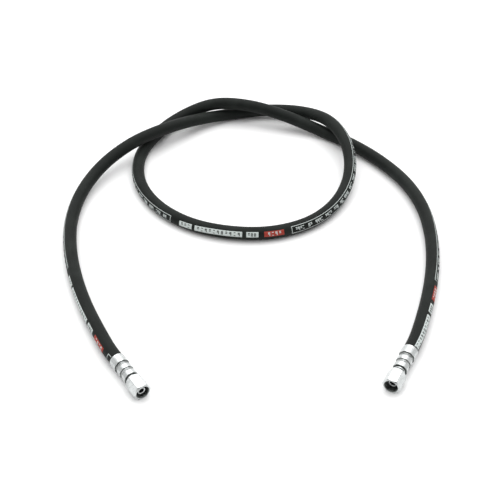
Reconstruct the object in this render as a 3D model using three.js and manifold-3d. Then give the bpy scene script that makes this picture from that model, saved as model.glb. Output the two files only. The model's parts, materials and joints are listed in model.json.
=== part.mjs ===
// Hydraulic hose assembly: a two-wire rubber hose with a crimped swivel-nut fitting on each
// end, lying on a flat surface in one loose overhand loop.
//
// Millimetres, +Z up. The surface is z = 0, the two fittings lie side by side along X, their
// nuts point towards -Y and the hose loops away towards +Y. The origin is on the surface,
// midway between the fittings.
import * as THREE from 'three';
import { mergeVertices } from 'three/addons/utils/BufferGeometryUtils.js';
import Module from 'manifold-3d';

const wasm = await Module();
wasm.setup();

// ---- Driving dimensions ------------------------------------------------------------------

// Hose, nominal bore 8 mm, in layers from the bore outwards: each has an inner and outer radius.
const HOSE_RADIUS = 8.5;
const LAYER_GAP = 0.3;
const HOSE_LAYERS = {
  hose_inner_tube: { inner: 4.2, outer: 5.1, sides: 8, color: 0x26282a, metalness: 0 },
  hose_inner_braid: { inner: 5.4, outer: 5.8, sides: 8, color: 0xb39a5e, metalness: 0.9 },
  hose_interlayer: { inner: 6.1, outer: 6.4, sides: 8, color: 0x303234, metalness: 0 },
  hose_outer_braid: { inner: 6.7, outer: 7.1, sides: 8, color: 0xb39a5e, metalness: 0.9 },
  hose_cover: { inner: 7.65, outer: HOSE_RADIUS, sides: 12, color: 0x1e211f, metalness: 0 },
};
const HOSE_STEPS = 64;
const STRAIGHT_LENGTH = 16;

// The stretches of the fitting, as distances along its axis from the ferrule's mouth.
const COVER_END = 3.0;
const HOSE_END = 29.1;
const FERRULE_END = 34.6;
const FLANGE_END = 36.8;
const HEAD_START = 47.1;
const STEM_TIP = 56.2;

// Swivel nut: 19 mm across flats for an M16 x 1.5 thread on a 24-degree cone.
const NUT_ACROSS_FLATS = 19;
const NUT_LENGTH = 22;
const NUT_REAR = 38.2;
const NUT_REAR_RADIUS = 8.7;
const NUT_FRONT_RADIUS = 9.0;
const NUT_COLLAR_LENGTH = 1.0;
const NUT_CHAMFER_SLOPE = Math.tan(THREE.MathUtils.degToRad(30));
const NUT_BORE_RADIUS = 5.6;
const NUT_BORE_BEVEL = 0.4;
const NUT_FLOAT = 1.2;
const CORNER_CLEARANCE = 0.2;
const THREAD_MINOR_RADIUS = 7.2;
const THREAD_RELIEF_RADIUS = 8.15;
const THREAD_RELIEF_LENGTH = 1.0;
const THREAD_RUN_OUT = 0.5;
const MOUTH_BEVEL_RADIUS = 8.25;
const MOUTH_BEVEL_LENGTH = 0.9;

// Retaining wire, half in the nut's groove and half in the stem's wider one.
const WIRE_RADIUS = 1.0;
const WIRE_RING_RADIUS = 5.5;
const WIRE_STATION = 41.9;
const NUT_GROOVE_HALF_WIDTH = 1.3;
const STEM_GROOVE_HALF_WIDTH = WIRE_RADIUS + NUT_FLOAT + 0.3;

// Stem: a bored insert with a barbed tail, a flange, a shank and a 24-degree cone.
const TAIL_START = 2.0;
const TAIL_TIP_RADIUS = 3.0;
const TAIL_BORE_RADIUS = 2.6;
const BORE_STEP_LENGTH = 1.0;
const TIP_BORE_RADIUS = 3.1;
const BARB_ROOT_RADIUS = 3.3;
const BARB_PEAK_RADIUS = 3.6;
const BARB_COUNT = 5;
const BARB_START = 2.6;
const BARB_PITCH = 4.9;
const BARB_RISE = 0.8;
const BARB_CREST = 0.9;
const COLLAR_RADIUS = 5.0;
const COLLAR_LENGTH = 1.3;
const NECK_RADIUS = 4.2;
const FLANGE_RADIUS = 6.9;
const FLANGE_BEVEL = 0.5;
const SHANK_RADIUS = 5.3;
const HEAD_RADIUS = 6.9;
const HEAD_LENGTH = 2.4;
const HEAD_BEVEL = 0.2;
const CONE_START_RADIUS = 6.3;
const CONE_SLOPE = Math.tan(THREE.MathUtils.degToRad(12));
const TIP_BEVEL = 0.45;
const ORING_WIRE_RADIUS = 0.75;
const ORING_RING_RADIUS = 5.2;
const ORING_STATION = 52.9;
const ORING_GROOVE_RADIUS = 4.2;
const ORING_GROOVE_HALF_WIDTH = 1.0;

// Ferrule: three crimped lands, each narrower than the one behind it. In front of each of the
// first two is a groove with one short steep flank, from which a long cone leads up to the next.
const MOUTH_RADIUS = 8.8;
const MOUTH_LIP = 0.2;
const FERRULE_BORE_RADIUS = 7.35;
const SHOULDER_LENGTH = 0.6;
const LOCK_RADIUS = 4.6;
const LOCK_LENGTH = 3.6;
const LANDS = [
  { start: 0, end: 12.2, radius: 9.4 },
  { start: 17.2, end: 23.1, radius: 8.9 },
  { start: 27.8, end: FERRULE_END, radius: 8.7 },
];
const LAND_ROUNDING = 0.35;
const GROOVE_RADIUS = 7.9;
const GROOVE_FLANK = 0.8;
const FERRULE_TIP_BEVEL = 1.0;
const CRIMP_DIES = 8;
const CRIMP_DEPTH = 0.3;
const SEGMENTS_PER_DIE = 5;

// Where each fitting's mouth is, which way its nut points (0 is towards -Y) and how far the
// loose nut has been pushed along its stem.
const AXIS_HEIGHT = NUT_ACROSS_FLATS / 2;
const FITTINGS = {
  a: { x: -166.8, y: 18, turn: 34.2, float: -NUT_FLOAT },
  b: { x: 166, y: 32.4, turn: -26.8, float: NUT_FLOAT },
};

// The hose's centre line between its two straight ends, from fitting a to fitting b. It rests
// on the surface and rises in low humps where it passes over itself.
const ROUTE = [
  [-189, 56, 10], [-213, 107, 9.5], [-232, 160, 9], [-245, 214, 9], [-250, 270, 9],
  [-242, 326, 12], [-218, 376, 19.5], [-181, 417, 26.5], [-138, 454, 25], [-95, 489, 16.5],
  [-46, 515, 9], [9, 523, 11], [63, 504.5, 19.5], [99, 464.5, 29.5], [119, 414, 26.5],
  [120, 358, 17], [101, 306, 10.5], [64, 264, 9], [12, 242, 9], [-44, 242, 9.5],
  [-96, 260, 9], [-139, 296, 9], [-166, 345, 9], [-172, 401, 9], [-156, 454, 9],
  [-119, 501, 13.5], [-71, 515.5, 26.5], [-19, 508, 29], [34, 491.5, 22], [85, 471.5, 10],
  [130, 437, 9], [167, 394, 10], [196, 345, 10.5], [212, 292, 10.5], [216, 236, 9.5],
  [211, 180, 9], [199, 125, 9], [183, 73, 9.5],
];

const RING_SEGMENTS = 32;
const STEM_SEGMENTS = 24;
const BARREL_SEGMENTS = 48;
const WIRE_SIDES = 8;
const OVERCUT = 1;

// ---- Helpers -----------------------------------------------------------------------------

function toManifold(geometry) {
  const bare = new THREE.BufferGeometry();
  bare.setAttribute('position', geometry.getAttribute('position').clone());
  if (geometry.index) {
    bare.setIndex(geometry.index.clone());
  }
  const merged = mergeVertices(bare, 1e-4);
  return new wasm.Manifold(new wasm.Mesh({
    numProp: 3,
    vertProperties: new Float32Array(merged.getAttribute('position').array),
    triVerts: new Uint32Array(merged.index.array),
  }));
}

function toGeometry(manifold) {
  const mesh = manifold.getMesh();
  const geometry = new THREE.BufferGeometry();
  geometry.setAttribute('position', new THREE.BufferAttribute(mesh.vertProperties, 3));
  geometry.setIndex(new THREE.BufferAttribute(mesh.triVerts, 1));
  const facets = geometry.toNonIndexed();
  facets.computeVertexNormals();
  return facets;
}

// A turned shape about the Y axis, from [radius, station] pairs that run anticlockwise.
function turned(profile, segments = RING_SEGMENTS) {
  const points = profile.map(([radius, station]) => new THREE.Vector2(radius, station));
  return new THREE.LatheGeometry(points, segments);
}

// The same, for a profile that closes on itself round a bore.
function turnedRing(profile, segments = RING_SEGMENTS) {
  return turned([...profile, profile[0]], segments);
}

// A round ring of round wire about the Y axis.
function wireRing(ringRadius, wireRadius, station) {
  const ring = new THREE.TorusGeometry(ringRadius, wireRadius, WIRE_SIDES, RING_SEGMENTS);
  return ring.rotateX(Math.PI / 2).translate(0, station, 0);
}

function polygon(radius, sides) {
  return Array.from({ length: sides }, (_, i) => {
    const angle = (2 * Math.PI * i) / sides;
    return new THREE.Vector2(radius * Math.cos(angle), radius * Math.sin(angle));
  });
}

function material(color, roughness, metalness) {
  return new THREE.MeshStandardMaterial({ color, roughness, metalness });
}

function part(name, geometry, finish) {
  const mesh = new THREE.Mesh(geometry, finish);
  mesh.name = name;
  return mesh;
}

// ---- Fitting pieces, each about the Y axis with the ferrule's mouth at 0 ---------------------

// The crimp dies leave a ring of flats on every land, with a narrow ridge between neighbours.
function pressFlats(geometry) {
  const position = geometry.getAttribute('position');
  const dieAngle = (2 * Math.PI) / CRIMP_DIES;
  for (let i = 0; i < position.count; i += 1) {
    const x = position.getX(i);
    const z = position.getZ(i);
    const radius = Math.hypot(x, z);
    const land = LANDS.find(({ start, end }) => position.getY(i) > start && position.getY(i) < end);
    if (!land || radius < land.radius - CRIMP_DEPTH) {
      continue;
    }
    const angle = Math.atan2(z, x);
    const fromDie = angle - dieAngle * Math.round(angle / dieAngle);
    const pressed = Math.min(radius, (land.radius - CRIMP_DEPTH) / Math.cos(fromDie));
    position.setX(i, pressed * Math.cos(angle));
    position.setZ(i, pressed * Math.sin(angle));
  }
  return geometry;
}

function ferruleGeometry() {
  const [rear, middle, front] = LANDS;
  const pressedLand = ({ start, end, radius }) => [
    [radius, start + LAND_ROUNDING],
    [radius, end - LAND_ROUNDING],
    [radius - CRIMP_DEPTH, end],
    [GROOVE_RADIUS, end + GROOVE_FLANK],
  ];
  return pressFlats(turnedRing([
    [MOUTH_RADIUS + MOUTH_LIP, 0],
    ...pressedLand(rear),
    ...pressedLand(middle),
    [front.radius, front.start + LAND_ROUNDING],
    [front.radius, FERRULE_END - FERRULE_TIP_BEVEL],
    [front.radius - FERRULE_TIP_BEVEL, FERRULE_END],
    [LOCK_RADIUS, FERRULE_END],
    [LOCK_RADIUS, FERRULE_END - LOCK_LENGTH],
    [FERRULE_BORE_RADIUS, FERRULE_END - LOCK_LENGTH],
    [FERRULE_BORE_RADIUS, COVER_END + SHOULDER_LENGTH],
    [MOUTH_RADIUS, COVER_END + LAYER_GAP],
    [MOUTH_RADIUS, 0],
  ], SEGMENTS_PER_DIE * CRIMP_DIES));
}

function stemGeometry() {
  const barbs = Array.from({ length: BARB_COUNT }, (_, i) => {
    const start = BARB_START + i * BARB_PITCH;
    return [
      [BARB_ROOT_RADIUS, start],
      [BARB_PEAK_RADIUS, start + BARB_RISE * BARB_PITCH],
      [BARB_PEAK_RADIUS, start + BARB_CREST * BARB_PITCH],
    ];
  }).flat();
  const coneStart = HEAD_START + HEAD_LENGTH;
  const coneRadius = (station) => CONE_START_RADIUS - (station - coneStart) * CONE_SLOPE;
  const collarStart = HOSE_END + LAYER_GAP;
  const flangeStart = FERRULE_END + LAYER_GAP;
  const wireGrooveRadius = WIRE_RING_RADIUS - WIRE_RADIUS - LAYER_GAP;
  const sealGrooveStart = ORING_STATION - ORING_GROOVE_HALF_WIDTH;
  const sealGrooveEnd = ORING_STATION + ORING_GROOVE_HALF_WIDTH;
  return turnedRing([
    [TAIL_BORE_RADIUS, TAIL_START],
    [TAIL_TIP_RADIUS, TAIL_START],
    ...barbs,
    [BARB_ROOT_RADIUS, collarStart],
    [COLLAR_RADIUS, collarStart],
    [COLLAR_RADIUS, collarStart + COLLAR_LENGTH],
    [NECK_RADIUS, collarStart + COLLAR_LENGTH],
    [NECK_RADIUS, flangeStart],
    [FLANGE_RADIUS, flangeStart],
    [FLANGE_RADIUS, FLANGE_END - FLANGE_BEVEL],
    [FLANGE_RADIUS - FLANGE_BEVEL, FLANGE_END],
    [SHANK_RADIUS, FLANGE_END],
    [SHANK_RADIUS, WIRE_STATION - STEM_GROOVE_HALF_WIDTH],
    [wireGrooveRadius, WIRE_STATION - STEM_GROOVE_HALF_WIDTH],
    [wireGrooveRadius, WIRE_STATION + STEM_GROOVE_HALF_WIDTH],
    [SHANK_RADIUS, WIRE_STATION + STEM_GROOVE_HALF_WIDTH],
    [SHANK_RADIUS, HEAD_START],
    [HEAD_RADIUS, HEAD_START + HEAD_RADIUS - SHANK_RADIUS],
    [HEAD_RADIUS, coneStart - HEAD_BEVEL],
    [CONE_START_RADIUS, coneStart],
    [coneRadius(sealGrooveStart), sealGrooveStart],
    [ORING_GROOVE_RADIUS, sealGrooveStart],
    [ORING_GROOVE_RADIUS, sealGrooveEnd],
    [coneRadius(sealGrooveEnd), sealGrooveEnd],
    [coneRadius(STEM_TIP - TIP_BEVEL), STEM_TIP - TIP_BEVEL],
    [coneRadius(STEM_TIP) - TIP_BEVEL, STEM_TIP],
    [TIP_BORE_RADIUS + TIP_BEVEL, STEM_TIP],
    [TIP_BORE_RADIUS, STEM_TIP - TIP_BEVEL],
    [TIP_BORE_RADIUS, FLANGE_END],
    [TAIL_BORE_RADIUS, FLANGE_END - BORE_STEP_LENGTH],
  ], STEM_SEGMENTS);
}

// A hexagon with flats above and below, its corners turned off at both ends, bored and relieved
// for the stem's head. Stations here are from the nut's own rear face.
function nutGeometry() {
  const corner = NUT_ACROSS_FLATS / Math.sqrt(3);
  const overCorner = corner + CORNER_CLEARANCE;
  const rearChamferEnd = NUT_COLLAR_LENGTH + (overCorner - NUT_REAR_RADIUS) * NUT_CHAMFER_SLOPE;
  const frontChamferStart = NUT_LENGTH - (overCorner - NUT_FRONT_RADIUS) * NUT_CHAMFER_SLOPE;
  const hexagon = new THREE.ExtrudeGeometry(new THREE.Shape(polygon(corner, 6)), {
    depth: NUT_LENGTH,
    bevelEnabled: false,
  }).rotateX(-Math.PI / 2);
  const barrel = turned([
    [0, 0],
    [NUT_REAR_RADIUS, 0],
    [NUT_REAR_RADIUS, NUT_COLLAR_LENGTH],
    [overCorner, rearChamferEnd],
    [overCorner, frontChamferStart],
    [NUT_FRONT_RADIUS, NUT_LENGTH],
    [0, NUT_LENGTH],
  ], BARREL_SEGMENTS);
  const grooveStart = WIRE_STATION - NUT_REAR - NUT_GROOVE_HALF_WIDTH;
  const grooveEnd = grooveStart + 2 * NUT_GROOVE_HALF_WIDTH;
  const grooveRadius = WIRE_RING_RADIUS + WIRE_RADIUS + LAYER_GAP;
  const seat = HEAD_START - NUT_REAR - NUT_FLOAT - LAYER_GAP;
  const reliefStart = seat + THREAD_RELIEF_RADIUS - NUT_BORE_RADIUS;
  const reliefEnd = reliefStart + THREAD_RELIEF_LENGTH;
  const bore = turned([
    [0, -OVERCUT],
    [NUT_BORE_RADIUS + NUT_BORE_BEVEL + OVERCUT, -OVERCUT],
    [NUT_BORE_RADIUS, NUT_BORE_BEVEL],
    [NUT_BORE_RADIUS, grooveStart],
    [grooveRadius, grooveStart],
    [grooveRadius, grooveEnd],
    [NUT_BORE_RADIUS, grooveEnd],
    [NUT_BORE_RADIUS, seat],
    [THREAD_RELIEF_RADIUS, reliefStart],
    [THREAD_RELIEF_RADIUS, reliefEnd],
    [THREAD_MINOR_RADIUS, reliefEnd + THREAD_RUN_OUT],
    [THREAD_MINOR_RADIUS, NUT_LENGTH - MOUTH_BEVEL_LENGTH],
    [MOUTH_BEVEL_RADIUS, NUT_LENGTH],
    [MOUTH_BEVEL_RADIUS, NUT_LENGTH + OVERCUT],
    [0, NUT_LENGTH + OVERCUT],
  ]);
  return toGeometry(toManifold(hexagon).intersect(toManifold(barrel)).subtract(toManifold(bore)));
}

// ---- Assembly ----------------------------------------------------------------------------

const assembly = new THREE.Group();
const zinc = () => material(0xc9cdd0, 0.28, 0.95);

function fitting(side, { x, y, turn, float }) {
  const group = new THREE.Group();
  group.position.set(x, y, AXIS_HEIGHT);
  group.rotation.z = Math.PI + THREE.MathUtils.degToRad(turn);

  const nut = part(`${side}_swivel_nut`, nutGeometry(), zinc());
  nut.position.y = NUT_REAR + float;

  const wire = part(
    `${side}_retaining_wire`,
    wireRing(WIRE_RING_RADIUS, WIRE_RADIUS, WIRE_STATION),
    material(0x9aa0a4, 0.4, 0.9),
  );
  wire.position.y = float;

  const seal = part(
    `${side}_cone_oring`,
    wireRing(ORING_RING_RADIUS, ORING_WIRE_RADIUS, ORING_STATION),
    material(0x17191a, 0.6, 0),
  );

  group.add(part(`${side}_ferrule`, ferruleGeometry(), zinc()));
  group.add(part(`${side}_stem`, stemGeometry(), zinc()));
  group.add(seal, wire, nut);
  return group;
}

const fittings = Object.entries(FITTINGS).map(([side, place]) => fitting(side, place));
fittings.forEach((group) => {
  group.updateMatrixWorld(true);
  assembly.add(group);
});

// The whole centre line: the free route, with each end running straight into its ferrule.
const straightStations = [HOSE_END, 0, -STRAIGHT_LENGTH];
const [endA, endB] = fittings.map((group) => (
  straightStations.map((station) => new THREE.Vector3(0, station, 0).applyMatrix4(group.matrixWorld))
));
const freeRoute = ROUTE.map(([x, y, z]) => new THREE.Vector3(x, y, z));
const centreLine = new THREE.CatmullRomCurve3([...endA, ...freeRoute, ...endB.reverse()]);

function layerGeometry({ inner, outer, sides }) {
  const section = new THREE.Shape(polygon(outer, sides));
  section.holes.push(new THREE.Path(polygon(inner, sides)));
  return new THREE.ExtrudeGeometry(section, {
    steps: HOSE_STEPS,
    bevelEnabled: false,
    extrudePath: centreLine,
  });
}

// The cover is peeled back at each end, where the ferrule grips the outer braid instead.
function peel(geometry) {
  const length = FERRULE_END;
  const cutters = fittings.map((group) => {
    const cutter = new THREE.CylinderGeometry(
      HOSE_RADIUS + OVERCUT,
      HOSE_RADIUS + OVERCUT,
      length,
      STEM_SEGMENTS,
    );
    return cutter.translate(0, COVER_END + length / 2, 0).applyMatrix4(group.matrixWorld);
  });
  return toGeometry(cutters.reduce(
    (solid, cutter) => solid.subtract(toManifold(cutter)),
    toManifold(geometry),
  ));
}

Object.entries(HOSE_LAYERS).forEach(([name, layer]) => {
  const tube = layerGeometry(layer);
  const geometry = name === 'hose_cover' ? peel(tube) : tube;
  const roughness = layer.metalness > 0 ? 0.45 : 0.7;
  assembly.add(part(name, geometry, material(layer.color, roughness, layer.metalness)));
});

export default assembly;
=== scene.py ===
"""A hydraulic hose assembly lying on a pale floor in one loose overhand loop, with a crimped
ferrule and a hexagonal swivel nut on each end. Metres, Z up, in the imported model's frame."""

import json
import math

import bmesh
import bpy
import numpy as np
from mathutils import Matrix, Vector


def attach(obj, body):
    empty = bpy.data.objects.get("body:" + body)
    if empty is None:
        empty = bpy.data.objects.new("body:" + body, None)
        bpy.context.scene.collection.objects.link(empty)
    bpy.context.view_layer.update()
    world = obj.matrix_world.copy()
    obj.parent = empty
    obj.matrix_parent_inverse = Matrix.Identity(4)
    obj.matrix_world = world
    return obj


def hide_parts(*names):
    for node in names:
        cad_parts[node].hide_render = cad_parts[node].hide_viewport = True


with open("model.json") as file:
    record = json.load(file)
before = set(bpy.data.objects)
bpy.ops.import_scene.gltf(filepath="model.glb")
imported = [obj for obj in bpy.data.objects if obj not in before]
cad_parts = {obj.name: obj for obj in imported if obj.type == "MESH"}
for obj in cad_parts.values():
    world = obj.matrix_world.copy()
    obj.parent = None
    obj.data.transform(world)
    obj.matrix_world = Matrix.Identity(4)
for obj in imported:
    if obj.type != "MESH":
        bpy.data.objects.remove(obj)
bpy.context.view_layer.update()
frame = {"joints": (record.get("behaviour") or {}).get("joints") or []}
MM = 0.001


# ---- Camera ------------------------------------------------------------------------------

CAMERA_PLACE = (-0.0165, -0.7913, 0.8770)
CAMERA_TILT = math.radians(49.0)
SENSOR_MM = 36.0
LENS_MM = 75.3
CLIP_NEAR = 0.01
CLIP_FAR = 50.0


def make_camera():
    data = bpy.data.cameras.new("camera")
    data.sensor_width = SENSOR_MM
    data.lens = LENS_MM
    data.clip_start = CLIP_NEAR
    data.clip_end = CLIP_FAR
    camera = bpy.data.objects.new("camera", data)
    camera.location = CAMERA_PLACE
    camera.rotation_euler = (CAMERA_TILT, 0.0, 0.0)
    bpy.context.scene.collection.objects.link(camera)
    bpy.context.scene.camera = camera


make_camera()


# ---- The two fittings' own frames --------------------------------------------------------

# Sizes in millimetres along a fitting's axis start at the ferrule's mouth.
COVER_END = 3.0
HOSE_END = 29.1
LEAD_IN = -16.0


class Fitting:
    """One end's frame: the centre of its ferrule's mouth, its axis out along the nut, and the
    distance that its loose nut has slid along that axis."""

    def __init__(self, side):
        joints = {joint["name"]: joint for joint in frame["joints"]}
        spin = joints[side + "_nut_spin"]
        slide = joints[side + "_nut_float"]
        self.side = side
        self.mouth = np.array(spin["pos_m"])
        self.axis = np.array(spin["axis"]) / np.linalg.norm(spin["axis"])
        self.up = np.array([0.0, 0.0, 1.0])
        self.across = np.cross(self.up, self.axis)
        self.float_mm = -sum(slide["range_m"]) / 2 / MM

    def place(self, station_mm):
        return self.mouth + self.axis * station_mm * MM


ENDS = {side: Fitting(side) for side in ("a", "b")}


# ---- The hose's centre line --------------------------------------------------------------

# The route between the fittings, in metres, from fitting a to fitting b.
ROUTE = np.array([
    [-0.189, 0.056, 0.010], [-0.213, 0.107, 0.0095], [-0.232, 0.160, 0.009],
    [-0.245, 0.214, 0.009], [-0.250, 0.270, 0.009], [-0.242, 0.326, 0.012],
    [-0.218, 0.376, 0.0195], [-0.181, 0.417, 0.0265], [-0.138, 0.454, 0.025],
    [-0.095, 0.489, 0.0165], [-0.046, 0.515, 0.009], [0.009, 0.523, 0.011],
    [0.063, 0.5045, 0.0195], [0.099, 0.4645, 0.0295], [0.119, 0.414, 0.0265],
    [0.120, 0.358, 0.017], [0.101, 0.306, 0.0105], [0.064, 0.264, 0.009],
    [0.012, 0.242, 0.009], [-0.044, 0.242, 0.0095], [-0.096, 0.260, 0.009],
    [-0.139, 0.296, 0.009], [-0.166, 0.345, 0.009], [-0.172, 0.401, 0.009],
    [-0.156, 0.454, 0.009], [-0.119, 0.501, 0.0135], [-0.071, 0.5155, 0.0265],
    [-0.019, 0.508, 0.029], [0.034, 0.4915, 0.022], [0.085, 0.4715, 0.010],
    [0.130, 0.437, 0.009], [0.167, 0.394, 0.010], [0.196, 0.345, 0.0105],
    [0.212, 0.292, 0.0105], [0.216, 0.236, 0.0095], [0.211, 0.180, 0.009],
    [0.199, 0.125, 0.009], [0.183, 0.073, 0.0095],
])
LINE_STEP = 1.0 * MM
EASE_STEPS = 9


def centripetal_curve(points, steps=40):
    """Points along the smooth curve that passes through all of the given ones."""
    first = 2 * points[0] - points[1]
    last = 2 * points[-1] - points[-2]
    known = np.vstack([first, points, last])
    t = np.linspace(0, 1, steps, endpoint=False)[:, None]
    made = []
    for p0, p1, p2, p3 in zip(known, known[1:], known[2:], known[3:]):
        d0, d1, d2 = (math.sqrt(np.linalg.norm(q - p)) for p, q in ((p0, p1), (p1, p2), (p2, p3)))
        m1 = ((p1 - p0) / d0 - (p2 - p0) / (d0 + d1) + (p2 - p1) / d1) * d1
        m2 = ((p2 - p1) / d1 - (p3 - p1) / (d1 + d2) + (p3 - p2) / d2) * d1
        a = 2 * p1 - 2 * p2 + m1 + m2
        b = -3 * p1 + 3 * p2 - 2 * m1 - m2
        made.append(((a * t + b) * t + m1) * t + p1)
    return np.vstack([*made, points[-1:]])


def evenly_spaced(line, step):
    along = np.concatenate([[0], np.cumsum(np.linalg.norm(np.diff(line, axis=0), axis=1))])
    places = np.linspace(0, along[-1], int(round(along[-1] / step)) + 1)
    return np.stack([np.interp(places, along, line[:, k]) for k in range(3)], axis=1)


def eased(line, width):
    """The line with its changes of bend smoothed over a few steps, and its ends where they were."""
    reach = 3 * width
    weights = np.exp(-0.5 * (np.arange(-reach, reach + 1) / width) ** 2)
    weights /= weights.sum()
    before = 2 * line[0] - line[reach:0:-1]
    after = 2 * line[-1] - line[-2:-reach - 2:-1]
    long = np.vstack([before, line, after])
    return np.stack([np.convolve(long[:, k], weights, "valid") for k in range(3)], axis=1)


class Hose:
    """The centre line, measured from the mouth of ferrule a, with a level frame all along it."""

    def __init__(self):
        stations = (HOSE_END, 0.0, LEAD_IN)
        start = [ENDS["a"].place(station) for station in stations]
        finish = [ENDS["b"].place(station) for station in reversed(stations)]
        curve = centripetal_curve(np.vstack([start, ROUTE, finish]))
        self.points = eased(evenly_spaced(curve, LINE_STEP), EASE_STEPS)
        steps = np.linalg.norm(np.diff(self.points, axis=0), axis=1)
        self.along = np.concatenate([[0], np.cumsum(steps)]) - HOSE_END * MM
        self.free_length = self.along[-1] - HOSE_END * MM
        ahead = np.gradient(self.points, axis=0)
        ahead /= np.linalg.norm(ahead, axis=1)[:, None]
        left = np.cross([0.0, 0.0, 1.0], ahead)
        self.left = left / np.linalg.norm(left, axis=1)[:, None]
        self.up = np.cross(ahead, self.left)

    def at(self, distance):
        """The centre, the direction to the left of travel and the direction up, at distances."""
        return [
            np.stack([np.interp(distance, self.along, values[:, k]) for k in range(3)], axis=-1)
            for values in (self.points, self.left, self.up)
        ]

    def surface(self, distance, angle, radius):
        """Points at a radius round the hose: angle 0 is level on the left, and a quarter turn is up."""
        centre, left, up = self.at(distance)
        outward = np.cos(angle)[..., None] * left + np.sin(angle)[..., None] * up
        return centre + outward * np.asarray(radius)[..., None]


HOSE = Hose()
HOSE_RADIUS = 8.5 * MM


# ---- Mesh helpers ------------------------------------------------------------------------

UV = "surface_metres"


def grid_faces(rows, columns, first=0, close_rows=False, close_columns=False):
    """Quads between neighbouring points of a grid, which may close on itself either way."""
    i = np.arange(rows if close_rows else rows - 1)
    j = np.arange(columns if close_columns else columns - 1)
    i, j = np.meshgrid(i, j, indexing="ij")
    down, right = (i + 1) % rows, (j + 1) % columns
    quads = [i * columns + j, down * columns + j, down * columns + right, i * columns + right]
    return np.stack(quads, axis=-1).reshape(-1, 4) + first


def build_mesh(name, points, faces, uv=None):
    mesh = bpy.data.meshes.new(name)
    mesh.from_pydata(points.tolist(), [], faces.tolist())
    if uv is not None:
        corners = np.empty(len(mesh.loops), np.int32)
        mesh.loops.foreach_get("vertex_index", corners)
        layer = mesh.uv_layers.new(name=UV)
        layer.data.foreach_set("uv", uv[corners].astype(np.float32).ravel())
    solid = bmesh.new()
    solid.from_mesh(mesh)
    bmesh.ops.recalc_face_normals(solid, faces=solid.faces)
    solid.to_mesh(mesh)
    solid.free()
    mesh.shade_smooth()
    return mesh


SHARP_ANGLE = math.radians(40)


def add_piece(name, mesh, look, body, nodes=(), crisp=False):
    mesh.materials.append(look)
    piece = bpy.data.objects.new(name, mesh)
    bpy.context.scene.collection.objects.link(piece)
    if crisp:
        mesh.set_sharp_from_angle(angle=SHARP_ANGLE)
        weighted = piece.modifiers.new("weighted_normals", "WEIGHTED_NORMAL")
        weighted.keep_sharp = True
    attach(piece, body)
    if nodes:
        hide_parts(*nodes)
    return piece


FILLET_STEPS = 3


def softened(outline, fillet, steps=FILLET_STEPS):
    """A closed outline with each corner turned into a small arc."""
    corners = np.asarray(outline, float)
    before, after = np.roll(corners, 1, axis=0), np.roll(corners, -1, axis=0)
    t = np.linspace(0, 1, steps + 1)[None, :, None]
    back, ahead = before - corners, after - corners
    back_length = np.linalg.norm(back, axis=1)[:, None]
    ahead_length = np.linalg.norm(ahead, axis=1)[:, None]
    cut = np.minimum(fillet, 0.4 * np.minimum(back_length, ahead_length))
    start = (corners + back / back_length * cut)[:, None]
    end = (corners + ahead / ahead_length * cut)[:, None]
    arcs = (1 - t) ** 2 * start + 2 * t * (1 - t) * corners[:, None] + t ** 2 * end
    return arcs.reshape(-1, 2)


def revolved(name, end, outlines, angles):
    """A closed solid about a fitting's axis. outlines holds one outline of radius and station
    for each angle, in millimetres, so that a shape may change as it goes round."""
    outlines = np.asarray(outlines, float) * MM
    rows, columns = outlines.shape[:2]
    radius, station = outlines[..., 0], outlines[..., 1]
    c, s = np.cos(angles)[:, None, None], np.sin(angles)[:, None, None]
    outward = c * end.across + s * end.up
    points = end.mouth + outward * radius[..., None] + end.axis * station[..., None]
    round_it = angles[:, None] * radius
    uv = np.stack([station, round_it], axis=-1)
    faces = grid_faces(rows, columns, close_rows=True, close_columns=True)
    return build_mesh(name, points.reshape(-1, 3), faces, uv.reshape(-1, 2))


def full_turn(count):
    return np.linspace(0, 2 * math.pi, count, endpoint=False)


# ---- Material helpers --------------------------------------------------------------------

def new_look(name, colour, roughness, metallic=0.0, **sockets):
    """A material with one Principled shader. Returns the material, its nodes' tree and the shader."""
    look = bpy.data.materials.new(name)
    look.use_nodes = True
    shader = look.node_tree.nodes["Principled BSDF"]
    shader.inputs["Base Color"].default_value = (*colour, 1.0)
    shader.inputs["Roughness"].default_value = roughness
    shader.inputs["Metallic"].default_value = metallic
    for key, value in sockets.items():
        shader.inputs[key.replace("_", " ")].default_value = value
    look.diffuse_color = (*colour, 1.0)
    return look, look.node_tree, shader


def node(tree, kind, inputs=None, **settings):
    """A new node, each of whose inputs is a plain value or the socket that feeds it."""
    made = tree.nodes.new("ShaderNode" + kind)
    for key, value in settings.items():
        setattr(made, key, value)
    for key, value in (inputs or {}).items():
        if isinstance(value, bpy.types.NodeSocket):
            tree.links.new(value, made.inputs[key])
        else:
            made.inputs[key].default_value = value
    return made


def math_node(tree, operation, first, second=0.0, third=0.0):
    return node(tree, "Math", {0: first, 1: second, 2: third}, operation=operation).outputs[0]


def object_place(tree):
    return node(tree, "TexCoord").outputs["Object"]


def surface_place(tree):
    """Distance along a piece and distance round it, in metres."""
    place = node(tree, "UVMap", uv_map=UV).outputs["UV"]
    split = node(tree, "SeparateXYZ", {"Vector": place})
    return split.outputs["X"], split.outputs["Y"]


def noise(tree, place, scale, detail=2.0, roughness=0.5):
    values = {"Vector": place, "Scale": scale, "Detail": detail, "Roughness": roughness}
    return node(tree, "TexNoise", values).outputs["Fac"]


def in_range(tree, value, low, high, out_low=0.0, out_high=1.0):
    values = {"Value": value, "From Min": low, "From Max": high, "To Min": out_low, "To Max": out_high}
    return node(tree, "MapRange", values).outputs["Result"]


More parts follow.
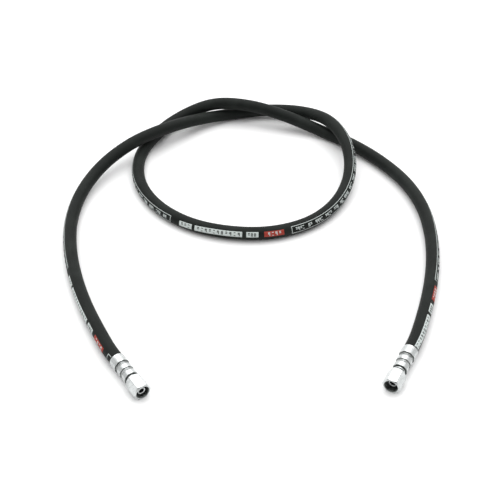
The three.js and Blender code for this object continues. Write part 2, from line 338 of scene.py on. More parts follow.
def blend_colours(tree, share, first, second):
    """The first colour where the share is 0, and the second where it is 1."""
    made = node(tree, "Mix", data_type="RGBA")
    for index, value in ((0, share), (6, first), (7, second)):
        if isinstance(value, bpy.types.NodeSocket):
            tree.links.new(value, made.inputs[index])
        else:
            made.inputs[index].default_value = value if index == 0 else (*value, 1.0)
    return made.outputs[2]


def wave(tree, value, pitch):
    """A smooth wave of the given pitch, from 0 to 1."""
    turned = math_node(tree, "MULTIPLY", value, 2 * math.pi / pitch)
    sine = math_node(tree, "SINE", turned)
    return math_node(tree, "MULTIPLY_ADD", sine, 0.5, 0.5)


def feed(tree, shader, **sockets):
    for key, source in sockets.items():
        tree.links.new(source, shader.inputs[key.replace("_", " ")])


def bumped(tree, shader, height, depth):
    """Lets a height pattern of that depth, in metres, tilt the surface."""
    bump = node(tree, "Bump", {"Height": height, "Strength": 1.0, "Distance": depth})
    feed(tree, shader, Normal=bump.outputs["Normal"])


# ---- Looks -------------------------------------------------------------------------------

COVER_BLACK = (0.0078, 0.0098, 0.0086)
COVER_DUSTY = (0.0155, 0.0190, 0.0168)
CLOTH_PITCH = 0.75 * MM
CLOTH_DEPTH = 0.05 * MM
TAPE_PITCH = 38.0 * MM
TAPE_EDGE = 0.8 * MM


def cover_look():
    """Black wrapped rubber: the fine print of the cloth it was cured in, and the cloth's laps."""
    look, tree, shader = new_look("cover_rubber", COVER_BLACK, 0.6, Specular_IOR_Level=0.13)
    along, across = surface_place(tree)
    dust = noise(tree, object_place(tree), 30.0, 4.0, 0.6)
    colour = blend_colours(tree, in_range(tree, dust, 0.45, 0.75), COVER_BLACK, COVER_DUSTY)
    warp = wave(tree, math_node(tree, "ADD", along, across), CLOTH_PITCH)
    weft = wave(tree, math_node(tree, "SUBTRACT", along, across), CLOTH_PITCH)
    cloth = math_node(tree, "MULTIPLY", warp, weft)
    wander = in_range(tree, noise(tree, object_place(tree), 60.0), 0.0, 1.0, -TAPE_EDGE, TAPE_EDGE)
    helix = math_node(tree, "MULTIPLY_ADD", across, TAPE_PITCH / (2 * math.pi * HOSE_RADIUS), along)
    lap = math_node(tree, "PINGPONG", math_node(tree, "ADD", helix, wander), TAPE_PITCH / 2)
    ridge = in_range(tree, lap, 0.0, TAPE_EDGE, 1.0, 0.0)
    height = math_node(tree, "MULTIPLY_ADD", ridge, 1.2, cloth)
    grain = noise(tree, object_place(tree), 900.0, 3.0)
    rough = in_range(tree, grain, 0.3, 0.7, 0.48, 0.64)
    feed(tree, shader, Base_Color=colour, Roughness=rough)
    bumped(tree, shader, height, CLOTH_DEPTH)
    return look


def ink_look(name, colour, worn):
    """Print on the cover, thinned in specks where the rubber shows through."""
    look, tree, shader = new_look(name, colour, 0.55, Specular_IOR_Level=0.25)
    specks = noise(tree, object_place(tree), 1500.0, 3.0, 0.7)
    share = in_range(tree, specks, 0.56, 0.70, 0.0, worn)
    feed(tree, shader, Base_Color=blend_colours(tree, share, colour, COVER_BLACK))
    bumped(tree, shader, specks, 0.02 * MM)
    return look


def smooth_rubber_look(name, colour, roughness):
    look, tree, shader = new_look(name, colour, roughness)
    mottle = noise(tree, object_place(tree), 250.0, 3.0)
    lighter = tuple(1.6 * channel for channel in colour)
    feed(
        tree, shader,
        Base_Color=blend_colours(tree, mottle, colour, lighter),
        Roughness=in_range(tree, mottle, 0.3, 0.7, roughness - 0.08, roughness + 0.08),
    )
    bumped(tree, shader, mottle, 0.02 * MM)
    return look


BRAID_BRASS = (0.62, 0.48, 0.25)
BRAID_STEEL = (0.42, 0.42, 0.42)
BRAID_PITCH = 2.4 * MM
BRAID_LEAN = 1.4
BRAID_DEPTH = 0.25 * MM


def braid_look():
    """Brass-coated wires that cross in both directions."""
    look, tree, shader = new_look("braid_wire", BRAID_BRASS, 0.35, 1.0)
    along, across = surface_place(tree)
    one_way = wave(tree, math_node(tree, "MULTIPLY_ADD", across, BRAID_LEAN, along), BRAID_PITCH)
    other_way = wave(tree, math_node(tree, "MULTIPLY_ADD", across, -BRAID_LEAN, along), BRAID_PITCH)
    height = math_node(tree, "MAXIMUM", one_way, other_way)
    worn = noise(tree, object_place(tree), 400.0, 3.0)
    feed(
        tree, shader,
        Base_Color=blend_colours(tree, worn, BRAID_BRASS, BRAID_STEEL),
        Roughness=in_range(tree, height, 0.0, 1.0, 0.5, 0.3),
    )
    bumped(tree, shader, height, BRAID_DEPTH)
    return look


ZINC = (0.60, 0.62, 0.62)
ZINC_DULL = (0.44, 0.46, 0.455)
# Painted shade: the dark zinc of the patches on the ferrule's groove cones.
ZINC_SHADE_PAINT = (0.22, 0.23, 0.225)
# Painted shade: the dark zinc of the ferrule's forward faces and of the nut's bore.
SHADE_PAINT = (0.13, 0.14, 0.135)
SHADE_PAINT_DULL = (0.06, 0.066, 0.062)

# The long cones of the ferrule's two grooves, which get patchy painted shade.
SHADE_PAINTED_CONES = ((13.2 * MM, 17.4 * MM), (24.1 * MM, 28.0 * MM))
SHADE_PAINT_EDGE = 0.4 * MM


def within(tree, along, start, finish, soft):
    """1 between two distances along a piece, falling to 0 over a soft edge at both."""
    rise = in_range(tree, along, start, start + soft)
    fall = in_range(tree, along, finish - soft, finish, 1.0, 0.0)
    return math_node(tree, "MULTIPLY", rise, fall)


def zinc_look(name, tool_pitch, tool_depth, roughness, shade_spans=(), bright=ZINC, dull=ZINC_DULL):
    """Bright zinc plate over tool marks that run round the piece. Between each pair of distances given
    in the last argument, patchy painted shade darkens the plate, and the plate is rougher there."""
    look, tree, shader = new_look(name, bright, roughness, 1.0)
    along, _ = surface_place(tree)
    cloud = noise(tree, object_place(tree), 220.0, 4.0, 0.6)
    fine = noise(tree, object_place(tree), 1800.0, 2.0)
    colour = blend_colours(tree, in_range(tree, cloud, 0.42, 0.72), bright, dull)
    rough = in_range(tree, cloud, 0.3, 0.7, roughness - 0.06, roughness + 0.10)
    patches = in_range(tree, noise(tree, object_place(tree), 700.0, 3.0, 0.6), 0.36, 0.60)
    # Painted shade: patches of dark zinc over each span, with more roughness.
    for start, finish in shade_spans:
        share = math_node(tree, "MULTIPLY", patches, within(tree, along, start, finish, SHADE_PAINT_EDGE))
        colour = blend_colours(tree, share, colour, ZINC_SHADE_PAINT)
        rough = math_node(tree, "MULTIPLY_ADD", share, 0.15, rough)
    marks = wave(tree, along, tool_pitch)
    height = math_node(tree, "MULTIPLY_ADD", fine, 0.6, marks)
    feed(tree, shader, Base_Color=colour, Roughness=rough)
    bumped(tree, shader, height, tool_depth)
    return look


LOOKS = {
    "cover": cover_look(),
    "inner_rubber": smooth_rubber_look("tube_rubber", (0.030, 0.032, 0.035), 0.45),
    "braid": braid_look(),
    "white_ink": ink_look("white_ink", (0.56, 0.61, 0.595), 0.7),
    "red_ink": ink_look("red_ink", (0.33, 0.040, 0.026), 0.5),
    "black_ink": ink_look("black_ink", (0.012, 0.014, 0.013), 0.2),
    "turned_zinc": zinc_look("turned_zinc", 0.35 * MM, 0.006 * MM, 0.24),
    "crimped_zinc": zinc_look("crimped_zinc", 0.6 * MM, 0.010 * MM, 0.26, SHADE_PAINTED_CONES),
    "drawn_zinc": zinc_look("drawn_zinc", 0.9 * MM, 0.003 * MM, 0.22),
    # Painted shade on the ferrule's forward faces and the nut's bore.
    "painted_shade_zinc": zinc_look("painted_shade_zinc", 0.2 * MM, 0.004 * MM, 0.30, (), SHADE_PAINT, SHADE_PAINT_DULL),
    "spring_wire": zinc_look("spring_wire", 0.5 * MM, 0.004 * MM, 0.34),
    "seal": smooth_rubber_look("seal_rubber", (0.012, 0.012, 0.013), 0.32),
}


# ---- Hose --------------------------------------------------------------------------------

def hose_layer(name, inner, outer, sides, start, finish, outer_step, inner_step):
    """A closed tube of the given radii along the hose, between two distances along it."""
    angles = full_turn(sides)
    grids = []
    for radius, step in ((outer, outer_step), (inner, inner_step)):
        along = np.linspace(start, finish, int(math.ceil((finish - start) / step)) + 1)
        s, a = np.meshgrid(along, angles, indexing="ij")
        points = HOSE.surface(s, a, np.full(s.shape, radius)).reshape(-1, 3)
        uv = np.stack([s, a * radius], axis=-1).reshape(-1, 2)
        grids.append((points, uv, len(along)))
    (out_points, out_uv, out_rows), (in_points, in_uv, in_rows) = grids
    second = len(out_points)
    faces = [
        grid_faces(out_rows, sides, close_columns=True),
        grid_faces(in_rows, sides, first=second, close_columns=True),
    ]
    around = np.arange(sides)
    beside = (around + 1) % sides
    for out_first, in_first in ((0, second), ((out_rows - 1) * sides, second + (in_rows - 1) * sides)):
        corners = [out_first + around, out_first + beside, in_first + beside, in_first + around]
        faces.append(np.stack(corners, axis=-1))
    points, uv = np.vstack([out_points, in_points]), np.vstack([out_uv, in_uv])
    return build_mesh(name, points, np.vstack(faces), uv)


COVER_SIDES = 56
COVER_INNER_RADIUS = 7.65 * MM
COVER_START = -COVER_END * MM
COVER_FINISH = HOSE.free_length + COVER_END * MM
COVER_OUTER_STEP = 1.7 * MM
COVER_INNER_STEP = 8.0 * MM

cover = add_piece(
    "cover",
    hose_layer(
        "cover", COVER_INNER_RADIUS, HOSE_RADIUS, COVER_SIDES,
        COVER_START, COVER_FINISH, COVER_OUTER_STEP, COVER_INNER_STEP,
    ),
    LOOKS["cover"], "hose_body", ["hose_cover"],
)

# Each inner layer: its radii in millimetres, its look and its material slot.
INNER_LAYERS = {
    "inner_tube": (4.2, 5.1, "inner_rubber", "tube_rubber"),
    "inner_braid": (5.4, 5.8, "braid", "braid_wire"),
    "interlayer": (6.1, 6.4, "inner_rubber", "tube_rubber"),
    "outer_braid": (6.7, 7.1, "braid", "braid_wire"),
}
LAYER_SIDES = 24
LAYER_STEP = 6.0 * MM
for layer_name, (inner, outer, look_name, slot_name) in INNER_LAYERS.items():
    mesh = hose_layer(
        layer_name, inner * MM, outer * MM, LAYER_SIDES,
        -HOSE_END * MM, HOSE.free_length + HOSE_END * MM, LAYER_STEP, LAYER_STEP,
    )
    add_piece(
        layer_name, mesh, LOOKS[look_name], "hose_body", ["hose_" + layer_name],
    )


# ---- Printed layline ---------------------------------------------------------------------

# Where each printed group of blocks starts, about a metre apart.
PRINT_STARTS = (-1.003, 0.018, 1.042, 2.053, 3.070)
PRINT_THICKNESS = 0.05 * MM
PRINT_ROOT = 0.15 * MM
BAND_HALF_HEIGHT = math.radians(32)
BLOCK_HALF_HEIGHT = math.radians(24.5)
LINE_HALF_HEIGHT = math.radians(2.4)
TILE_LENGTH = 1.5 * MM
TILE_TURN = math.radians(6)

# How far the layline has turned up from level, at distances along the hose.
TWIST_AT = (0.0, 0.08, 0.20, 0.60, 0.85, 0.96, 1.13, 1.20, 1.31, 1.50, 1.85, 1.97, 2.10, 2.17)
TWIST_DEGREES = (15, 14, 7, 0, 32, 26, 25, 8, -4, -4, 2, 20, 32, 41)


def twist(distance):
    return np.radians(np.interp(distance, TWIST_AT, TWIST_DEGREES))


def ink_mesh(name, cells, lift):
    """Thin curved tiles on the hose: each cell is its start and finish along the hose and its
    lower and upper angle from the layline's middle."""
    points, faces, uvs, count = [], [], [], 0
    for start, finish, low, high in cells:
        rows = max(2, int(math.ceil((finish - start) / TILE_LENGTH)) + 1)
        columns = max(2, int(math.ceil((high - low) / TILE_TURN)) + 1)
        along, angles = np.linspace(start, finish, rows), np.linspace(low, high, columns)
        s, a = np.meshgrid(along, angles, indexing="ij")
        turned = a + twist(s)
        top = HOSE.surface(s, turned, np.full(s.shape, HOSE_RADIUS + lift)).reshape(-1, 3)
        root = HOSE.surface(s, turned, np.full(s.shape, HOSE_RADIUS - PRINT_ROOT)).reshape(-1, 3)
        uv = np.stack([s, a * HOSE_RADIUS], axis=-1).reshape(-1, 2)
        size = rows * columns
        index = np.arange(size).reshape(rows, columns)
        rim = np.concatenate([index[0, :-1], index[:-1, -1], index[-1, :0:-1], index[:0:-1, 0]])
        beside = np.roll(rim, -1)
        faces += [
            grid_faces(rows, columns, first=count),
            grid_faces(rows, columns, first=count + size),
            np.stack([rim, beside, beside + size, rim + size], axis=-1) + count,
        ]
        points += [top, root]
        uvs += [uv, uv]
        count += 2 * size
    return build_mesh(name, np.vstack(points), np.vstack(faces), np.vstack(uvs))


MARK_HALF_HEIGHT = math.radians(16)
STROKE = 0.95 * MM
MARK_LENGTH = 2.3 * MM


def mark(at, random):
    """One abstract mark of two strokes or bars."""
    stroke_angle = STROKE / HOSE_RADIUS
    kind = random.integers(0, 4)
    half = MARK_HALF_HEIGHT
    upright = (at, at + STROKE, -half, half)
    second = (at + 1.5 * MM, at + 1.5 * MM + STROKE, -half, half)
    if kind == 0:
        return [upright, second]
    if kind == 1:
        return [upright, (at + 1.3 * MM, at + 2.4 * MM, -stroke_angle / 2, half)]
    if kind == 2:
        edges = (-half, half - stroke_angle)
        return [(at, at + MARK_LENGTH, edge, edge + stroke_angle) for edge in edges]
    middle = (at, at + MARK_LENGTH, -stroke_angle / 2, stroke_angle / 2)
    return [middle, (at, at + MARK_LENGTH, half / 2, half)]


# A group of blocks starts with a red one. After it come solid white blocks: where each starts and
# its length, in millimetres, and the number and pitch of the dark marks on it.
RED_BLOCK = 25 * MM
RED_MARKS = 4
RED_MARK_PITCH = 4.6
WHITE_BLOCKS = ((32, 15, 3, 3.8), (52, 61, 11, 5.2), (117, 18, 3, 4.8))

# An outlined band of marks then runs up to the next group.
BAND_FIRST = 149 * MM
BAND_MARGIN = 10 * MM
BAND_MARKS_FIRST = 7 * MM
BAND_MARKS_LAST = 12 * MM
BAND_MARK_PITCH = 3.1 * MM


def outlined_band(start, finish, random):
    """Two thin lines closed at their ends, with small marks in loose groups between them."""
    line = 2 * HOSE_RADIUS * LINE_HALF_HEIGHT
    top, low = BAND_HALF_HEIGHT - LINE_HALF_HEIGHT, -BAND_HALF_HEIGHT - LINE_HALF_HEIGHT
    cells = [(start, finish, edge, edge + 2 * LINE_HALF_HEIGHT) for edge in (top, low)]
    for edge in (start, finish - line):
        cells.append((edge, edge + line, -BAND_HALF_HEIGHT, BAND_HALF_HEIGHT))
    at = start + BAND_MARKS_FIRST
    while at < finish - BAND_MARKS_LAST:
        for _ in range(random.integers(2, 5)):
            cells += mark(at, random)
            at += BAND_MARK_PITCH
        at += random.uniform(2.5, 5.5) * MM
    return cells


PRINT_MARGIN = 1.5 * MM
SHORTEST_CELL = 0.3 * MM


def printed_line():
    """The white, red and black cells of the whole layline, which repeats along the hose."""
    random = np.random.default_rng(7)
    white, red, red_marks, black = [], [], [], []
    block = BLOCK_HALF_HEIGHT
    first_place, last_place = PRINT_MARGIN, HOSE.free_length - PRINT_MARGIN
    for start, following in zip(PRINT_STARTS, PRINT_STARTS[1:]):
        red.append((start, start + RED_BLOCK, -block, block))
        for k in range(RED_MARKS):
            red_marks += mark(start + (4 + RED_MARK_PITCH * k) * MM, random)
        for first, length, marks, pitch in WHITE_BLOCKS:
            at = start + first * MM
            white.append((at, at + length * MM, -block, block))
            for k in range(marks):
                black += mark(at + (3 + pitch * k) * MM, random)
        white += outlined_band(start + BAND_FIRST, following - BAND_MARGIN, random)
    inside = []
    for cells in (white, red, red_marks, black):
        kept = [(max(s, first_place), min(f, last_place), lo, hi) for s, f, lo, hi in cells]
        inside.append([cell for cell in kept if cell[1] - cell[0] > SHORTEST_CELL])
    return inside


PRINT_PIECES = (
    ("layline_white", "white_ink", PRINT_THICKNESS),
    ("layline_red", "red_ink", PRINT_THICKNESS),
    ("layline_marks_light", "white_ink", 2 * PRINT_THICKNESS),
    ("layline_marks_dark", "black_ink", 2 * PRINT_THICKNESS),
)
for (print_name, ink_name, lift), cells in zip(PRINT_PIECES, printed_line()):
    add_piece(print_name, ink_mesh(print_name, cells, lift), LOOKS[ink_name], "hose_body")


# ---- Fittings ----------------------------------------------------------------------------

FERRULE_END = 34.6
FLANGE_END = 36.8
HEAD_START = 47.1
STEM_TIP = 56.2
GAP = 0.3

# Ferrule: three crimped lands, and a groove in front of each of the first two, with one short
# steep flank and one long cone.
MOUTH_RADIUS = 8.8
MOUTH_LIP = 0.2
FERRULE_BORE_RADIUS = 7.35
SHOULDER_LENGTH = 0.6
LOCK_RADIUS = 4.6
LOCK_LENGTH = 3.6
LANDS = ((0.0, 12.2, 9.4), (17.2, 23.1, 8.9), (27.8, FERRULE_END, 8.7))
LAND_ROUNDING = 0.35
GROOVE_RADIUS = 7.9
GROOVE_FLANK = 0.8
FERRULE_TIP_BEVEL = 1.0
CRIMP_DIES = 8
CRIMP_DEPTH = 0.3
SEGMENTS_PER_DIE = 24
FERRULE_FILLET = 0.3


def pressed_land(start, end, radius):
    return [
        (radius, start + LAND_ROUNDING),
        (radius, end - LAND_ROUNDING),
        (radius - CRIMP_DEPTH, end),
        (GROOVE_RADIUS, end + GROOVE_FLANK),
    ]


def ferrule_outline():
    rear, middle, (front_start, front_end, front_radius) = LANDS
    return [
        (MOUTH_RADIUS + MOUTH_LIP, 0.0),
        *pressed_land(*rear),
        *pressed_land(*middle),
        (front_radius, front_start + LAND_ROUNDING),
        (front_radius, front_end - FERRULE_TIP_BEVEL),
        (front_radius - FERRULE_TIP_BEVEL, front_end),
        (LOCK_RADIUS, FERRULE_END),
        (LOCK_RADIUS, FERRULE_END - LOCK_LENGTH),
        (FERRULE_BORE_RADIUS, FERRULE_END - LOCK_LENGTH),
        (FERRULE_BORE_RADIUS, COVER_END + SHOULDER_LENGTH),
        (MOUTH_RADIUS, COVER_END + GAP),
        (MOUTH_RADIUS, 0.0),
    ]


# The least part of a ferrule face's normal that points along the axis for it to face forward, and so to
# get painted shade.
FACED_TILT = 0.45


def paint_shade_on(piece, chosen):
    """Gives the chosen faces of a piece a second, dark zinc look: painted shade."""
    piece.data.materials.append(LOOKS["painted_shade_zinc"])
    for polygon in piece.data.polygons:
        if chosen(np.array(polygon.center), np.array(polygon.normal)):
            polygon.material_index = 1


def ferrule(end):
    """The crimp dies leave flats on every land, with a soft ridge between neighbours."""
    angles = full_turn(CRIMP_DIES * SEGMENTS_PER_DIE)
    outline = softened(ferrule_outline(), FERRULE_FILLET)
    radius, station = outline[:, 0], outline[:, 1]
    land_radius = np.zeros(len(outline))
    for start, stop, land in LANDS:
        land_radius[(station > start) & (station < stop) & (radius > land - CRIMP_DEPTH)] = land
    die = 2 * math.pi / CRIMP_DIES
    from_die = angles - die * np.round(angles / die)
    flat = (land_radius[None, :] - CRIMP_DEPTH) / np.cos(from_die)[:, None]
    pressed = np.where(land_radius > 0, np.minimum(radius, flat), radius)
    outlines = np.stack([pressed, np.broadcast_to(station, pressed.shape)], axis=-1)
    name = end.side + "_crimped_ferrule"
    piece = add_piece(name, revolved(name, end, outlines, angles), LOOKS["crimped_zinc"],
                      "hose_body", [end.side + "_ferrule"], crisp=True)
    # Painted shade on every face that faces forward, which takes in the steep flank after each land and
    # the ferrule's front end.
    paint_shade_on(piece, lambda centre, normal: normal.dot(end.axis) > FACED_TILT)
    return piece


# Retaining wire, half in the nut's groove and half in the stem's wider one.
WIRE_STATION = 41.9
WIRE_RADIUS = 1.0
WIRE_RING_RADIUS = 5.5
STEM_GROOVE_HALF_WIDTH = 2.5

# Stem: a bored insert with a barbed tail, a flange, a shank and a 24-degree cone.
TAIL_START = 2.0
TAIL_TIP_RADIUS = 3.0
TAIL_BORE_RADIUS = 2.6
BORE_STEP_LENGTH = 1.0
TIP_BORE_RADIUS = 3.1
BARB_ROOT_RADIUS = 3.3
BARB_PEAK_RADIUS = 3.6
BARB_COUNT = 5
BARB_START = 2.6
BARB_PITCH = 4.9
BARB_RISE = 0.8
BARB_CREST = 0.9
COLLAR_RADIUS = 5.0
COLLAR_LENGTH = 1.3
NECK_RADIUS = 4.2
FLANGE_BEVEL = 0.5
SHANK_RADIUS = 5.3
HEAD_RADIUS = 6.9
HEAD_LENGTH = 2.4
HEAD_BEVEL = 0.2
CONE_START_RADIUS = 6.3
CONE_SLOPE = math.tan(math.radians(12))
TIP_BEVEL = 0.45
STEM_FILLET = 0.15
ORING_WIRE_RADIUS = 0.75
ORING_RING_RADIUS = 5.2
ORING_STATION = 52.9
ORING_GROOVE_RADIUS = 4.2
ORING_GROOVE_HALF_WIDTH = 1.0
ROUND_SEGMENTS = 96
RING_SEGMENTS = 20


def cone_radius(station):
    return CONE_START_RADIUS - (station - HEAD_START - HEAD_LENGTH) * CONE_SLOPE


def stem_outline():
    barbs = []
    for i in range(BARB_COUNT):
        start = BARB_START + i * BARB_PITCH
        barbs += [
            (BARB_ROOT_RADIUS, start),
            (BARB_PEAK_RADIUS, start + BARB_RISE * BARB_PITCH),
            (BARB_PEAK_RADIUS, start + BARB_CREST * BARB_PITCH),
        ]
    collar_start = HOSE_END + GAP
    collar_end = collar_start + COLLAR_LENGTH
    wire_floor = WIRE_RING_RADIUS - WIRE_RADIUS - GAP
    cone_start = HEAD_START + HEAD_LENGTH
    seal_start = ORING_STATION - ORING_GROOVE_HALF_WIDTH
    seal_end = ORING_STATION + ORING_GROOVE_HALF_WIDTH
    return [
        (TAIL_BORE_RADIUS, TAIL_START),
        (TAIL_TIP_RADIUS, TAIL_START),
        *barbs,
        (BARB_ROOT_RADIUS, collar_start),
        (COLLAR_RADIUS, collar_start),
        (COLLAR_RADIUS, collar_end),
        (NECK_RADIUS, collar_end),
        (NECK_RADIUS, FERRULE_END + GAP),
        (HEAD_RADIUS, FERRULE_END + GAP),
        (HEAD_RADIUS, FLANGE_END - FLANGE_BEVEL),
        (HEAD_RADIUS - FLANGE_BEVEL, FLANGE_END),
        (SHANK_RADIUS, FLANGE_END),
        (SHANK_RADIUS, WIRE_STATION - STEM_GROOVE_HALF_WIDTH),
        (wire_floor, WIRE_STATION - STEM_GROOVE_HALF_WIDTH),
        (wire_floor, WIRE_STATION + STEM_GROOVE_HALF_WIDTH),
        (SHANK_RADIUS, WIRE_STATION + STEM_GROOVE_HALF_WIDTH),
        (SHANK_RADIUS, HEAD_START),
        (HEAD_RADIUS, HEAD_START + HEAD_RADIUS - SHANK_RADIUS),
        (HEAD_RADIUS, cone_start - HEAD_BEVEL),
        (CONE_START_RADIUS, cone_start),
        (cone_radius(seal_start), seal_start),
        (ORING_GROOVE_RADIUS, seal_start),
        (ORING_GROOVE_RADIUS, seal_end),
        (cone_radius(seal_end), seal_end),
        (cone_radius(STEM_TIP - TIP_BEVEL), STEM_TIP - TIP_BEVEL),
        (cone_radius(STEM_TIP) - TIP_BEVEL, STEM_TIP),
        (TIP_BORE_RADIUS + TIP_BEVEL, STEM_TIP),
        (TIP_BORE_RADIUS, STEM_TIP - TIP_BEVEL),
        (TIP_BORE_RADIUS, FLANGE_END),
        (TAIL_BORE_RADIUS, FLANGE_END - BORE_STEP_LENGTH),
    ]


def stem(end):
    angles = full_turn(ROUND_SEGMENTS)
    outline = softened(stem_outline(), STEM_FILLET)
    outlines = np.broadcast_to(outline, (len(angles), *outline.shape))
    name = end.side + "_bored_stem"
    return add_piece(name, revolved(name, end, outlines, angles), LOOKS["turned_zinc"],
                     "hose_body", [end.side + "_stem"], crisp=True)


def round_ring(name, end, ring_radius, wire_radius, station):
    turn = full_turn(RING_SEGMENTS)
    radii = ring_radius + wire_radius * np.cos(turn)
    stations = station + wire_radius * np.sin(turn)
    section = np.stack([radii, stations], axis=-1)
    angles = full_turn(ROUND_SEGMENTS)
    return revolved(name, end, np.broadcast_to(section, (len(angles), *section.shape)), angles)


def seal(end):
    name = end.side + "_seal_ring"
    mesh = round_ring(name, end, ORING_RING_RADIUS, ORING_WIRE_RADIUS, ORING_STATION)
    return add_piece(name, mesh, LOOKS["seal"], "hose_body", [end.side + "_cone_oring"])


def wire_ring(end):
    name = end.side + "_nut_wire"
    mesh = round_ring(name, end, WIRE_RING_RADIUS, WIRE_RADIUS, WIRE_STATION + end.float_mm)
    return add_piece(name, mesh, LOOKS["spring_wire"], end.side + "_wire_body",
                     [end.side + "_retaining_wire"])


# Swivel nut: 19 mm across flats for an M16 x 1.5 thread.
NUT_ACROSS_FLATS = 19.0
NUT_LENGTH = 22.0
NUT_REAR = 38.2
NUT_FLOAT = 1.2
NUT_REAR_RADIUS = 8.7
NUT_FRONT_RADIUS = 9.0
NUT_COLLAR_LENGTH = 1.0
NUT_CORNER_RADIUS = 10.8
NUT_CHAMFER_SLOPE = math.tan(math.radians(30))
NUT_BORE_RADIUS = 5.6
NUT_BORE_BEVEL = 0.4
NUT_GROOVE_HALF_WIDTH = 1.3
NUT_MOUTH_RADIUS = 8.25
NUT_FILLET = 0.18
FLAT_SAMPLES = 22
THREAD_MINOR_RADIUS = 7.2
THREAD_MAJOR_RADIUS = 8.0
THREAD_PITCH = 1.5
THREAD_RELIEF_RADIUS = 8.15
THREAD_RELIEF_LENGTH = 1.0
THREAD_RUN_OUT = 0.5
THREAD_EASE = 0.8
THREAD_ROWS_PER_PITCH = 12
MOUTH_BEVEL_LENGTH = 0.9


def hexagon_angles():
    """Angles round the nut, with the edges of each rounded corner among them."""
    half_corner = math.radians(30) - math.acos(NUT_ACROSS_FLATS / 2 / NUT_CORNER_RADIUS)
    one_flat = np.concatenate([
        np.linspace(-math.radians(30) + half_corner, math.radians(30) - half_corner, FLAT_SAMPLES),
        [math.radians(30) - half_corner / 2, math.radians(30), math.radians(30) + half_corner / 2],
    ])
    return np.concatenate([one_flat + math.radians(60) * k for k in range(6)])


def thread_depth(turn, station, start, finish):
    """How far the thread's groove reaches past its crest, running out at both ends."""
    phase = (station / THREAD_PITCH - turn / (2 * math.pi)) % 1.0
    tooth = np.clip(2.6 * (0.5 - np.abs(phase - 0.5)) * 2 - 0.8, 0, 1)
    ease_in = np.clip((station - start) / THREAD_EASE, 0, 1)
    ease_out = np.clip((finish - station) / THREAD_EASE, 0, 1)
    ease = ease_in * ease_out
    return (THREAD_MAJOR_RADIUS - THREAD_MINOR_RADIUS) * tooth * ease


def nut_outline(angle):
    """Stations from the nut's rear face. The hexagon's corners are turned off at both ends."""
    sixth = math.radians(60)
    from_flat = angle - sixth * round(angle / sixth)
    side = min(NUT_ACROSS_FLATS / 2 / math.cos(from_flat), NUT_CORNER_RADIUS)
    groove = WIRE_STATION - NUT_REAR
    groove_floor = WIRE_RING_RADIUS + WIRE_RADIUS + GAP
    seat = HEAD_START - NUT_REAR - NUT_FLOAT - GAP
    relief = seat + THREAD_RELIEF_RADIUS - NUT_BORE_RADIUS
    relief_end = relief + THREAD_RELIEF_LENGTH
    thread_start, thread_end = relief_end + THREAD_RUN_OUT, NUT_LENGTH - MOUTH_BEVEL_LENGTH
    body = [
        (NUT_REAR_RADIUS, 0.0),
        (NUT_REAR_RADIUS, NUT_COLLAR_LENGTH),
        (side, NUT_COLLAR_LENGTH + (side - NUT_REAR_RADIUS) * NUT_CHAMFER_SLOPE),
        (side, NUT_LENGTH - (side - NUT_FRONT_RADIUS) * NUT_CHAMFER_SLOPE),
        (NUT_FRONT_RADIUS, NUT_LENGTH),
        (NUT_MOUTH_RADIUS, NUT_LENGTH),
    ]
    rear = [
        (THREAD_RELIEF_RADIUS, relief_end),
        (THREAD_RELIEF_RADIUS, relief),
        (NUT_BORE_RADIUS, seat),
        (NUT_BORE_RADIUS, groove + NUT_GROOVE_HALF_WIDTH),
        (groove_floor, groove + NUT_GROOVE_HALF_WIDTH),
        (groove_floor, groove - NUT_GROOVE_HALF_WIDTH),
        (NUT_BORE_RADIUS, groove - NUT_GROOVE_HALF_WIDTH),
        (NUT_BORE_RADIUS, NUT_BORE_BEVEL),
        (NUT_BORE_RADIUS + NUT_BORE_BEVEL, 0.0),
    ]
    rows = int((thread_end - thread_start) / THREAD_PITCH * THREAD_ROWS_PER_PITCH)
    stations = np.linspace(thread_end, thread_start, rows)
    radii = THREAD_MINOR_RADIUS + thread_depth(angle, stations, thread_start, thread_end)
    thread = np.stack([radii, stations], axis=-1)
    thread_ends = [thread[0].tolist(), thread[-1].tolist()]
    corners = softened([*body, *thread_ends, *rear], NUT_FILLET, FILLET_STEPS)
    split = (len(body) + 1) * (FILLET_STEPS + 1)
    return np.vstack([corners[:split], thread[1:-1], corners[split:]])


def swivel_nut(end):
    angles = hexagon_angles() + math.radians(30)
    from_top = angles - math.radians(90)
    outlines = np.array([nut_outline(angle) for angle in from_top])
    outlines[..., 1] += NUT_REAR + end.float_mm
    name = end.side + "_hexagon_nut"
    piece = add_piece(name, revolved(name, end, outlines, angles), LOOKS["drawn_zinc"],
                      end.side + "_nut_body", [end.side + "_swivel_nut"], crisp=True)

    def in_bore(centre, normal):
        reach = centre - end.mouth
        return np.linalg.norm(reach - end.axis * reach.dot(end.axis)) < THREAD_RELIEF_RADIUS * MM

    # Painted shade over the nut's whole bore and threaded mouth.
    paint_shade_on(piece, in_bore)
    return piece


fitting_pieces = {
    side: [ferrule(end), stem(end), seal(end), wire_ring(end), swivel_nut(end)]
    for side, end in ENDS.items()
}


# ---- Floor and light ---------------------------------------------------------------------

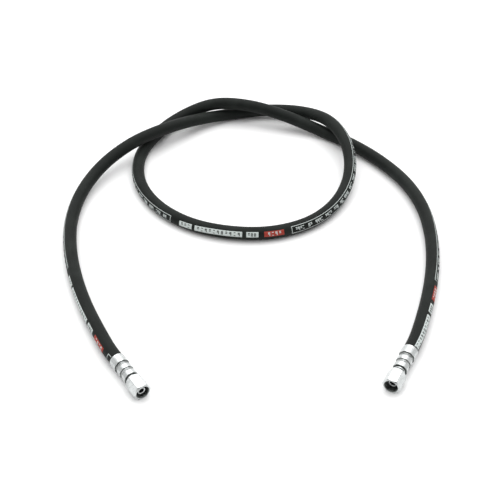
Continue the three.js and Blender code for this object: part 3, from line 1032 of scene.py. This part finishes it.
FLOOR_HALF = 6.0
PAPER = (0.93, 0.93, 0.93)
PAPER_DARK = (0.92, 0.92, 0.92)
PAPER_LIGHT = (0.94, 0.94, 0.94)
WORLD_STRENGTH = 1.45
LOW_LIGHT = 0.18
SOFTBOX_PLACE = (0.0, 1.0, 2.2)
SOFTBOX_TARGET = (0.0, 0.25, 0.0)
SOFTBOX_SIZE = (3.0, 2.0)
SOFTBOX_WATTS = 26.0


def make_floor():
    mesh = bpy.data.meshes.new("floor")
    corners = [(-FLOOR_HALF, -FLOOR_HALF, 0), (FLOOR_HALF, -FLOOR_HALF, 0),
               (FLOOR_HALF, FLOOR_HALF, 0), (-FLOOR_HALF, FLOOR_HALF, 0)]
    mesh.from_pydata(corners, [], [(0, 1, 2, 3)])
    look, tree, shader = new_look("floor_paper", PAPER, 0.9)
    grain = noise(tree, object_place(tree), 3.0, 2.0)
    feed(tree, shader, Base_Color=blend_colours(tree, grain, PAPER_DARK, PAPER_LIGHT))
    mesh.materials.append(look)
    floor = bpy.data.objects.new("floor", mesh)
    bpy.context.scene.collection.objects.link(floor)


def area_light(name, place, target, size, power):
    data = bpy.data.lights.new(name, "AREA")
    data.shape = "RECTANGLE"
    data.size, data.size_y = size
    data.energy = power
    light = bpy.data.objects.new(name, data)
    light.location = place
    aim = Vector(target) - Vector(place)
    light.rotation_euler = aim.to_track_quat("-Z", "Y").to_euler()
    bpy.context.scene.collection.objects.link(light)


def make_world(strength):
    """Bright overhead and behind, and dark low down in front."""
    world = bpy.data.worlds.new("studio")
    world.use_nodes = True
    tree = world.node_tree
    split = node(tree, "SeparateXYZ", {"Vector": node(tree, "TexCoord").outputs["Generated"]})
    lifted = math_node(tree, "MULTIPLY", split.outputs["Z"], 0.9)
    level = math_node(tree, "MULTIPLY_ADD", split.outputs["Y"], 0.6, lifted)
    bright = in_range(tree, level, -0.15, 0.75, LOW_LIGHT, 1.0)
    background = tree.nodes["Background"]
    background.inputs["Color"].default_value = (1.0, 1.0, 1.0, 1.0)
    tree.links.new(math_node(tree, "MULTIPLY", bright, strength), background.inputs["Strength"])
    bpy.context.scene.world = world


make_floor()
make_world(WORLD_STRENGTH)
area_light("softbox_above_behind", SOFTBOX_PLACE, SOFTBOX_TARGET, SOFTBOX_SIZE, SOFTBOX_WATTS)
bpy.context.scene.view_settings.view_transform = "Standard"
